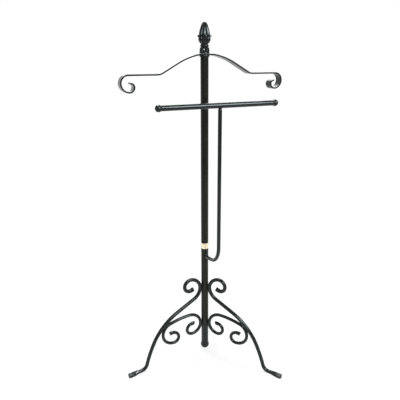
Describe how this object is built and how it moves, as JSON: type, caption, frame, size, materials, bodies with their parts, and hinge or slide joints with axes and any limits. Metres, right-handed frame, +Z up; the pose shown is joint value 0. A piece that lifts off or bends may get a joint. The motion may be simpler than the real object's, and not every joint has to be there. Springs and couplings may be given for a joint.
{
  "type": "valet stand",
  "caption": "Floor-standing wrought-iron valet stand: a jacket hanger and a trouser rail on a pole that turns in a scrolled tripod base",
  "frame": {"origin": "on the pole's axis at floor level, under the middle of the tripod", "axes": "+Z up along the pole; X along the hanger and the trouser rail; the rail is in front of the pole, towards -Y"},
  "size_m": [0.5068, 0.4695, 1.0084],
  "materials": {
    "black_iron": "satin black paint",
    "polished_brass": "polished",
    "plated_steel": "bright turned"
  },
  "bodies": {
    "base": {"base_tube": "black_iron", "base_ball": "black_iron", "leg_rear": "black_iron", "leg_left": "black_iron", "leg_right": "black_iron", "brace_rear": "black_iron", "brace_left": "black_iron", "brace_right": "black_iron"},
    "mast": {"swivel_spigot": "plated_steel", "lower_pole": "black_iron", "lower_plug": "plated_steel", "joint_stud": "plated_steel", "brass_collar": "polished_brass", "upper_plug": "plated_steel", "upper_pole": "black_iron", "top_plug": "black_iron", "finial_stud": "plated_steel", "hanger": "black_iron", "crown_collar": "black_iron", "finial": "black_iron", "rail_arm": "black_iron", "trouser_rail": "black_iron", "rail_ball_left": "black_iron", "rail_ball_right": "black_iron"}
  },
  "joints": [
    {"name": "mast_swivel", "type": "hinge", "parent": "base", "child": "mast", "pos_m": [0, 0, 0.248], "axis": [0, 0, 1], "continuous": true}
  ]
}
